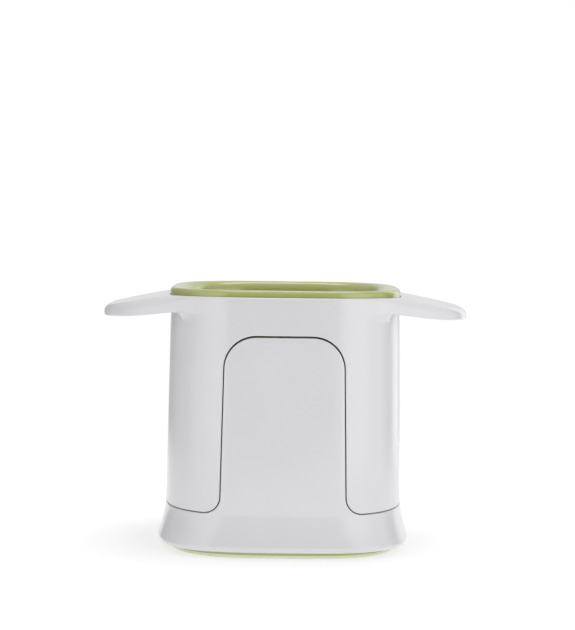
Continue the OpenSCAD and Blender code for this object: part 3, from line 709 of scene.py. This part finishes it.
row = add_node(loft, "ShaderNodeMath", {"operation": "FLOORED_MODULO"}, i0=row.outputs[0],
               i1=size.outputs["Point Count"])
point = add_node(loft, "GeometryNodeSampleIndex", {"data_type": "FLOAT_VECTOR"},
                 Geometry=given.outputs["Profile"], Index=row.outputs[0])
loft.links.new(loft.nodes.new("GeometryNodeInputPosition").outputs[0],
               next(s for s in point.inputs if s.name == "Value" and s.enabled))
reach = add_node(loft, "ShaderNodeSeparateXYZ", i0=next(s for s in point.outputs if s.enabled))
part_turn = add_node(loft, "ShaderNodeMath", {"operation": "DIVIDE"}, i0=column.outputs[0],
                     i1=given.outputs["Columns"])
angle = add_node(loft, "ShaderNodeMath", {"operation": "MULTIPLY"}, i0=part_turn.outputs[0], i1=2 * math.pi)
across, terms = [], []
for function, socket in (("COSINE", "X"), ("SINE", "Y")):
    wave = add_node(loft, "ShaderNodeMath", {"operation": function}, i0=angle.outputs[0])
    across.append(wave)
    size_of = add_node(loft, "ShaderNodeMath", {"operation": "ABSOLUTE"}, i0=wave.outputs[0])
    part = add_node(loft, "ShaderNodeMath", {"operation": "DIVIDE"}, i0=size_of.outputs[0],
                    i1=reach.outputs[socket])
    terms.append(add_node(loft, "ShaderNodeMath", {"operation": "POWER"}, i0=part.outputs[0],
                          i1=given.outputs["Squareness"]))
total = add_node(loft, "ShaderNodeMath", {"operation": "ADD"}, i0=terms[0].outputs[0], i1=terms[1].outputs[0])
inverse = add_node(loft, "ShaderNodeMath", {"operation": "DIVIDE"}, i0=-1.0, i1=given.outputs["Squareness"])
radius = add_node(loft, "ShaderNodeMath", {"operation": "POWER"}, i0=total.outputs[0], i1=inverse.outputs[0])
flat_x, flat_y = (add_node(loft, "ShaderNodeMath", {"operation": "MULTIPLY"}, i0=radius.outputs[0],
                           i1=wave.outputs[0]) for wave in across)
spot = add_node(loft, "ShaderNodeCombineXYZ", X=flat_x.outputs[0], Y=flat_y.outputs[0], Z=reach.outputs["Z"])
shaped = add_node(loft, "GeometryNodeSetPosition", Geometry=sheet.outputs[0], Position=spot.outputs[0])
solid = add_node(loft, "GeometryNodeRealizeInstances", i0=shaped.outputs[0])
coat = add_node(loft, "GeometryNodeSetMaterial", Geometry=solid.outputs[0], Material=given.outputs["Plastic"])
out = loft.nodes.new("NodeGroupOutput")
loft.links.new(coat.outputs[0], out.inputs[0])


def ring_of(name, profile, material):
    """A closed ring on a rounded square, from its profile of half width, half depth and height."""
    mesh = bpy.data.meshes.new(name + "_profile")
    mesh.from_pydata([tuple(v * MM for v in p) for p in profile],
                     [(i, i + 1) for i in range(len(profile) - 1)], [])
    plastic_input = list(loft_values)[-1]
    return grown(name, mesh, loft, {**loft_values, plastic_input: material})


cup_profile = [(CUP_LOW - SOFT_EDGE, CUP_LOW - SOFT_EDGE, CUP_Z), (CUP_LOW, CUP_LOW, CUP_Z + SOFT_EDGE)]
cup_profile += [tuple(mix(np.array([CUP_LOW, CUP_LOW, CUP_Z]), np.array([CUP_HALF, CUP_HALF, SEAT_Z]), s))
                for s in (0.25, 0.5, 0.75, 1.0)]
cup_profile += [(RIM_X - SOFT_EDGE, RIM_Y - SOFT_EDGE, SEAT_Z), (RIM_X, RIM_Y, SEAT_Z + SOFT_EDGE)]
for i in range(9):
    a = math.pi / 2 * i / 8
    inset = RIM_R * (1 - math.cos(a))
    cup_profile.append((RIM_X - inset, RIM_Y - inset, PLATE_Z + RIM_H - RIM_R * (1 - math.sin(a))))
for i in range(15):
    a = math.pi / 2 * i / 14
    inset, inner = RIM_R + RIM_FLAT, CUP_HALF - CUP_WALL
    cup_profile.append((mix(RIM_X - inset, inner, math.sin(a)), mix(RIM_Y - inset, inner, math.sin(a)),
                        PLATE_Z + RIM_H - (RIM_H + RIM_ROLL) * (1 - math.cos(a))))
inner_top = np.array([CUP_HALF - CUP_WALL] * 2 + [PLATE_Z - RIM_ROLL])
cup_profile += [tuple(mix(inner_top, np.array([MOUTH, MOUTH, CUP_Z]), s))
                for s in (0.25, 0.5, 0.75, 0.99, 1.0)]
finished("lime_cup", ring_of("lime_cup", cup_profile, lime_abs), lime_abs, "upper", ["cup"])

# --- Base housing -----------------------------------------------------------------------------
# The white base: a ring that flares and grows squarer towards its foot, with two tall arched panels
# that fill the windows flush when the chopper is closed. Moulded in the same ABS as the housing.

BASE_WALL = 3.3
FLARE = 2.2
FLARE_Z = 5.0
FLARE_BOW = 1.5
FOOT_POWER = 4.2
TOE_INSET = 1.7         # how far the ring rounds in from its widest line to its lower edge
RING_Z = 2.6
RING_TOP = LEG_Z - RUN_GAP
RING_HALF = 48.45       # half width of the ring's foot before its toe is rounded
RING_BORE = RING_HALF - BASE_WALL
CROWN_GAP = 0.7
FLOOR_Z = 15.0
FLOOR_T = 1.8
FLOOR_HALF = MOUTH + RUN_GAP
PANEL_COLUMNS = 44


def flare_reach(z):
    """How far the ring stands out past the body at height z."""
    if z > FLARE_Z:
        return FLARE * max(0.0, (RING_TOP - z) / (RING_TOP - FLARE_Z)) ** FLARE_BOW
    part = (FLARE_Z - z) / (FLARE_Z - RING_Z)
    return FLARE - TOE_INSET * (1 - math.sqrt(max(0.0, 1 - part * part)))


def base_half(z):
    return body_half(z) + flare_reach(z)


def base_power(z):
    """How square the ring is at height z."""
    return mix(PLAN_POWER, FOOT_POWER, flare_reach(z) / FLARE)


panel_share = np.linspace(0, 1, PANEL_COLUMNS + 1)


def panel_row(half, x, z, power=PLAN_POWER):
    """Row of a panel from its edge at x to the middle of the front."""
    return ring_row(mix(bearing_of(half, x, power), math.pi / 2, panel_share), half, z, power)


def base_turns(half, power=PLAN_POWER):
    edge_turn = bearing_of(half, corner_x, power)
    return np.concatenate([(edge_turn * fractions)[::-1], mix(edge_turn, math.pi / 2, panel_share)[1:]])


def ring_level(z):
    power = base_power(z)
    return ring_row(base_turns(base_half(z), power), base_half(z), z, power)


panel_path = window_path(RUN_GAP, CROWN_GAP - RUN_GAP)
base_section = rounding(SOFT_EDGE, 3) + [(0.0, BASE_WALL / 2), (0.0, BASE_WALL)]
outer_panel = [panel_row(base_half(z - nz * SOFT_EDGE), x - nx * SOFT_EDGE, z - nz * SOFT_EDGE,
                         base_power(z - nz * SOFT_EDGE)) for x, z, nx, nz in panel_path]
inner_panel = [panel_row(body_half(z) - BASE_WALL, x, z) for x, z, nx, nz in panel_path]


def base_point(x, z, depth):
    """Point of the base's front at x and z, depth below its surface."""
    return x, -chord(base_half(z) - depth, x, base_power(z)), z


panel_edge = [[base_point(x - nx * off, z - nz * off, depth) for off, depth in base_section]
              for x, z, nx, nz in panel_path]
crown_sheet, ring_edge = [], []
for off, depth in base_section:
    z = WINDOW_Z - CROWN_GAP - off
    crown_sheet.append(panel_row(base_half(z) - depth, crown_x[0], z))
    z = RING_TOP - off
    half, power = base_half(z) - depth, base_power(z)
    ring_edge.append(ring_row(bearing_of(half, corner_x, power) * fractions, half, z, power))
outer_ring = [ring_level(mix(RING_Z, FLARE_Z, math.sin(math.radians(a)))) for a in np.arange(0, 90, 11.25)]
outer_ring += [ring_level(z) for z in np.linspace(FLARE_Z, RING_TOP - SOFT_EDGE, 21)]
inner_half = body_half(FLOOR_Z) - BASE_WALL
inner_ring = [ring_row(base_turns(body_half(z) - BASE_WALL), body_half(z) - BASE_WALL, z)
              for z in (RING_TOP, FLOOR_Z)]
floor_turns = base_turns(inner_half)
inner_ring += [ring_row(floor_turns, half, z) for half, z in (
    (FLOOR_HALF, FLOOR_Z), (FLOOR_HALF, FLOOR_Z - FLOOR_T), (inner_half, FLOOR_Z - FLOOR_T),
    (RING_BORE, RING_Z))]
inner_ring.append(ring_level(RING_Z))
base_mesh = sheets_to_mesh("base_shell", [outer_panel, inner_panel, panel_edge, crown_sheet, ring_edge,
                                          outer_ring, inner_ring])
finished("base_shell", base_mesh, white_abs, "base", ["base_housing"])

# --- Base bosses ------------------------------------------------------------------------------
# Four round bosses under the base's floor, with blind holes that take the peg plate's screws.
# Moulded in one with the base from the same white ABS; the peg plate closes them in.

DECK_HALF = FLOOR_HALF - FIT_GAP
BASE_BOSS = DECK_HALF * DIAGONAL + FIT_GAP + POST_D / 2
SPIGOT_Z = RING_Z + FLOOR_T
boss_sheets = [lathe(corner(BASE_BOSS, quarter), blind_post(SPIGOT_Z, FLOOR_Z - FLOOR_T / 2))
               for quarter in range(4)]
finished("base_bosses", sheets_to_mesh("base_bosses", boss_sheets, mirrored=False), white_abs,
         "base", ["base_housing"])

# --- Peg plate, blade frame and guide strips ----------------------------------------------------
# Lime mouldings that the source already shapes exactly: the field of hollow pegs on its deck and
# flange, the frame that holds the blades, and the strips inside the panels. Here their rounded walls
# are shaded smooth, and their edges rounded as far as the finest facet leaves room: about 0.1 mm on
# the strips, a few hundredths on the pegs, and next to nothing on the frame.

FLAT_ANGLE = 0.2        # degrees: flatter joints between facets are no edge
EDGE_ANGLE = 30.0       # degrees: sharper ones get the radius


def softened(node_name, piece_name, body, radius):
    """A finished copy of a node with its flat faces joined again and its edges rounded."""
    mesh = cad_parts[node_name].data.copy()
    shell = bmesh.new()
    shell.from_mesh(mesh)
    bmesh.ops.remove_doubles(shell, verts=shell.verts, dist=WELD / 2 * MM)
    bmesh.ops.dissolve_limit(shell, angle_limit=math.radians(FLAT_ANGLE), verts=shell.verts,
                             edges=shell.edges)
    shell.to_mesh(mesh)
    shell.free()
    piece = bpy.data.objects.new(piece_name + "_edges", mesh)
    bpy.context.scene.collection.objects.link(piece)
    bevel = piece.modifiers.new("edges", "BEVEL")
    bevel.width = radius * MM
    bevel.segments = 2
    bevel.limit_method = "ANGLE"
    bevel.angle_limit = math.radians(EDGE_ANGLE)
    plain = bpy.data.meshes.new_from_object(piece.evaluated_get(bpy.context.evaluated_depsgraph_get()))
    bpy.data.objects.remove(piece)
    shell = bmesh.new()
    shell.from_mesh(plain)
    bmesh.ops.remove_doubles(shell, verts=shell.verts, dist=WELD / 4 * MM)
    bmesh.ops.dissolve_degenerate(shell, dist=WELD / 4 * MM, edges=shell.edges)
    shell.to_mesh(plain)
    shell.free()
    plain.name = piece_name
    finished(piece_name, plain, lime_abs, body, [node_name], sharp=22)


for node_name, piece_name, body, radius in (
        ("peg_plate", "pegs_and_deck", "base", 0.18), ("blade_frame", "blade_holder", "upper", 0.12),
        ("guide_front", "guide_strip_front", "base", 0.12), ("guide_rear", "guide_strip_rear", "base", 0.12)):
    softened(node_name, piece_name, body, radius)

# --- Blades -------------------------------------------------------------------------------------
# Ten strips of hardened stainless steel, 0.5 mm thick, half-lapped into a grid and ground to an edge
# below. The frame's slots hold their ends, and the cup's lower edge clamps them down.

BEVEL_HIGHLIGHT_H = 0.9           # height of the painted highlight on the bevel, which fades out over the next length
BEVEL_HIGHLIGHT_FADE = 0.15

# Rolled strip with a surface-ground finish: fine lines along each blade, a cool grey mirror that is
# drawn out across them, and a painted highlight on the ground bevel at the lower edge, as a lighter base
# colour.
steel = bpy.data.materials.new("ground_stainless_steel")
steel.use_nodes = True
tree = steel.node_tree
shader = tree.nodes["Principled BSDF"]
shader.inputs["Metallic"].default_value = 1.0
place = add_node(tree, "ShaderNodeTexCoord")
# Grinding lines 0.12 mm apart in height, 15 mm long, drawn this coarse so that they show.
along = add_node(tree, "ShaderNodeMapping", Vector=place.outputs["Object"],
                 Scale=(1 / 0.015, 1 / 0.015, 1 / 0.00012))
lines = add_node(tree, "ShaderNodeTexNoise", Vector=along.outputs[0], Scale=1.0, Detail=2.0)
height = add_node(tree, "ShaderNodeSeparateXYZ", i0=place.outputs["Object"])
# Painted highlight: below this height the blades get a lighter base colour, which stands in for the light the
# bevel catches.
bevel_highlight_mask = add_node(tree, "ShaderNodeMapRange", i0=height.outputs["Z"], i1=(BLADE_Z + BEVEL_HIGHLIGHT_H) * MM,
                  i2=(BLADE_Z + BEVEL_HIGHLIGHT_H + BEVEL_HIGHLIGHT_FADE) * MM)
steel_with_bevel_highlight = add_node(tree, "ShaderNodeMix", {"data_type": "RGBA"}, i0=bevel_highlight_mask.outputs["Result"],
                i6=linear("#dcdee2"), i7=linear("#bfc1c5"))
tree.links.new(steel_with_bevel_highlight.outputs[2], shader.inputs["Base Color"])
dull = add_node(tree, "ShaderNodeMapRange", i0=lines.outputs[0], i3=0.2, i4=0.42)
tree.links.new(dull.outputs["Result"], shader.inputs["Roughness"])
scored = add_node(tree, "ShaderNodeBump", Height=lines.outputs[0], Strength=0.3, Distance=0.00001)
tree.links.new(scored.outputs[0], shader.inputs["Normal"])
for number in range(1, 6):
    for row in ("x", "y"):
        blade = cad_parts[f"blade_{row}_{number}"]
        blade.data.materials.clear()
        blade.data.materials.append(steel)

# --- Screws -------------------------------------------------------------------------------------
# Four screws hold the blade frame up to the housing's posts, and four hold the peg plate. Cheese
# heads of plated steel with a cross recess; Geometry Nodes set one screw into the four corners.

FLANGE_Z = 1.5
HEAD_D = 4.2
HEAD_H = 1.0
HEAD_R = 0.35
HEAD_SUNK = 0.1         # how far the head's face stays up inside its counterbore
SHANK_PLAY = 0.06
TIP_L = 0.6
TIP_IN = 0.5
CROSS_L = 2.2
CROSS_W = 0.5
CROSS_TOP = 0.7

# Bright zinc plate on steel: a slightly bluish mirror, a little uneven from the plating bath.
plated = bpy.data.materials.new("zinc_plated_steel")
plated.use_nodes = True
tree = plated.node_tree
shader = tree.nodes["Principled BSDF"]
shader.inputs["Metallic"].default_value = 1.0
place = add_node(tree, "ShaderNodeTexCoord")
# Spangle of the plating, about 0.6 mm.
spangle = add_node(tree, "ShaderNodeTexNoise", Vector=place.outputs["Object"], Scale=1 / 0.0006, Detail=2.0)
zinc = add_node(tree, "ShaderNodeMix", {"data_type": "RGBA"}, i0=spangle.outputs[0], i6=linear("#b9bdc6"),
                i7=linear("#d0d3d9"))
tree.links.new(zinc.outputs[2], shader.inputs["Base Color"])
shine = add_node(tree, "ShaderNodeMapRange", i0=spangle.outputs[0], i3=0.18, i4=0.32)
tree.links.new(shine.outputs["Result"], shader.inputs["Roughness"])


def screw_mesh(name, low, length):
    """One screw about the upright axis through the origin, its head below, with a cross cut in it."""
    head, shank = HEAD_D / 2, SCREW_D / 2 - SHANK_PLAY
    seat, tip = low + HEAD_H, low + HEAD_H + length
    profile = [(0.0, low + HEAD_SUNK)]
    profile += [(head - off, low + HEAD_SUNK + depth) for off, depth in rounding(HEAD_R, 2)]
    profile += [(head, seat), (shank, seat), (shank, tip - TIP_L), (shank - TIP_IN, tip), (0.0, tip)]
    body = bpy.data.objects.new(name, sheets_to_mesh(name, [lathe((0, 0), profile, 36)], mirrored=False))
    bpy.context.scene.collection.objects.link(body)
    cutters = []
    for width, depth in ((CROSS_W, CROSS_L), (CROSS_L, CROSS_W)):
        bar = bmesh.new()
        bmesh.ops.create_cube(bar, size=1.0)
        middle = Matrix.Translation((0, 0, (low + CROSS_TOP - HEAD_H / 2) * MM))
        bmesh.ops.transform(bar, verts=bar.verts, matrix=middle
                            @ Matrix.Diagonal((width * MM, depth * MM, HEAD_H * MM, 1)))
        bar_mesh = bpy.data.meshes.new("cross")
        bar.to_mesh(bar_mesh)
        bar.free()
        cutter = bpy.data.objects.new("cross", bar_mesh)
        bpy.context.scene.collection.objects.link(cutter)
        cut = body.modifiers.new("cross", "BOOLEAN")
        cut.operation = "DIFFERENCE"
        cut.object = cutter
        cutters.append(cutter)
    plain = bpy.data.meshes.new_from_object(body.evaluated_get(bpy.context.evaluated_depsgraph_get()))
    for item in cutters + [body]:
        bpy.data.objects.remove(item)
    return plain


tree = bpy.data.node_groups.new("screws_in_the_corners", "GeometryNodeTree")
screw_values = {}
tree.interface.new_socket(name="Screw", in_out="INPUT", socket_type="NodeSocketGeometry")
group_input(tree, "Distance from the middle", "NodeSocketFloat", screw_values, 0.0)
group_input(tree, "Metal", "NodeSocketMaterial", screw_values, plated)
tree.interface.new_socket(name="Screws", in_out="OUTPUT", socket_type="NodeSocketGeometry")
given = tree.nodes.new("NodeGroupInput")
ring = add_node(tree, "GeometryNodeMeshCircle", Vertices=4, Radius=given.outputs["Distance from the middle"])
quarter_turn = add_node(tree, "GeometryNodeTransform", Geometry=ring.outputs[0],
                        Rotation=(0, 0, math.pi / 4))
placed_screws = add_node(tree, "GeometryNodeInstanceOnPoints", Points=quarter_turn.outputs[0],
                         Instance=given.outputs["Screw"])
solid = add_node(tree, "GeometryNodeRealizeInstances", i0=placed_screws.outputs[0])
coat = add_node(tree, "GeometryNodeSetMaterial", Geometry=solid.outputs[0], Material=given.outputs["Metal"])
out = tree.nodes.new("NodeGroupOutput")
tree.links.new(coat.outputs[0], out.inputs[0])
distance_input = list(screw_values)[0]
for name, body, node_name, distance, low, post_z in (
        ("blade_frame_screws", "upper", "frame_screws", FRAME_BOSS, FRAME_Z, CUP_Z),
        ("peg_plate_screws", "base", "base_screws", BASE_BOSS, FLANGE_Z, SPIGOT_Z)):
    screw = screw_mesh(name, low, post_z - low - HEAD_H + THREAD_L)
    four = grown(name, screw, tree, {**screw_values, distance_input: distance * MM})
    finished(name, four, plated, body, [node_name])

# --- Foot ring ----------------------------------------------------------------------------------
# A pale green band of soft thermoplastic rubber that keeps the base from sliding. It is moulded on
# its own and pressed into a groove in the peg plate's flange from below.

FLANGE_STEP = 2.0
FOOT_STEP = 0.8
FOOT_HALF = RING_HALF - FLANGE_STEP - FOOT_STEP - SLOT_PLAY
FOOT_BAND = 2.5
FOOT_IN = 0.5
FOOT_EDGE_R = 0.35

# Thermoplastic rubber, moulded matt: a pale green that soaks up light, with a dusty bloom.
rubber = bpy.data.materials.new("soft_foot_rubber")
rubber.use_nodes = True
tree = rubber.node_tree
shader = tree.nodes["Principled BSDF"]
shader.inputs["IOR"].default_value = 1.48
place = add_node(tree, "ShaderNodeTexCoord")
# Bloom of the rubber in patches of about 4 mm, over a grain of 0.3 mm.
bloom = add_node(tree, "ShaderNodeTexNoise", Vector=place.outputs["Object"], Scale=1 / 0.004, Detail=2.0)
dusty = add_node(tree, "ShaderNodeMix", {"data_type": "RGBA"}, i0=bloom.outputs[0], i6=linear("#e2e8d2"),
                 i7=linear("#eaf0dd"))
tree.links.new(dusty.outputs[2], shader.inputs["Base Color"])
dull = add_node(tree, "ShaderNodeMapRange", i0=bloom.outputs[0], i3=0.6, i4=0.75)
tree.links.new(dull.outputs["Result"], shader.inputs["Roughness"])
skin = add_node(tree, "ShaderNodeTexNoise", Vector=place.outputs["Object"], Scale=1 / 0.0003, Detail=1.0)
pebbled = add_node(tree, "ShaderNodeBump", Height=skin.outputs[0], Strength=0.3, Distance=0.00002)
tree.links.new(pebbled.outputs[0], shader.inputs["Normal"])

foot_profile = [(half, half, FLANGE_Z + FOOT_IN) for half in (FOOT_HALF, FOOT_HALF - FOOT_BAND)]
for half, way in ((FOOT_HALF - FOOT_BAND, 1), (FOOT_HALF, -1)):
    for i in range(5):
        a = math.pi / 2 * (i if way == 1 else 4 - i) / 4
        edge = half + way * FOOT_EDGE_R * (1 - math.cos(a))
        foot_profile.append((edge, edge, FOOT_EDGE_R * (1 - math.sin(a))))
finished("foot_band", ring_of("foot_band", foot_profile, rubber), rubber, "base",
         ["foot_ring"])
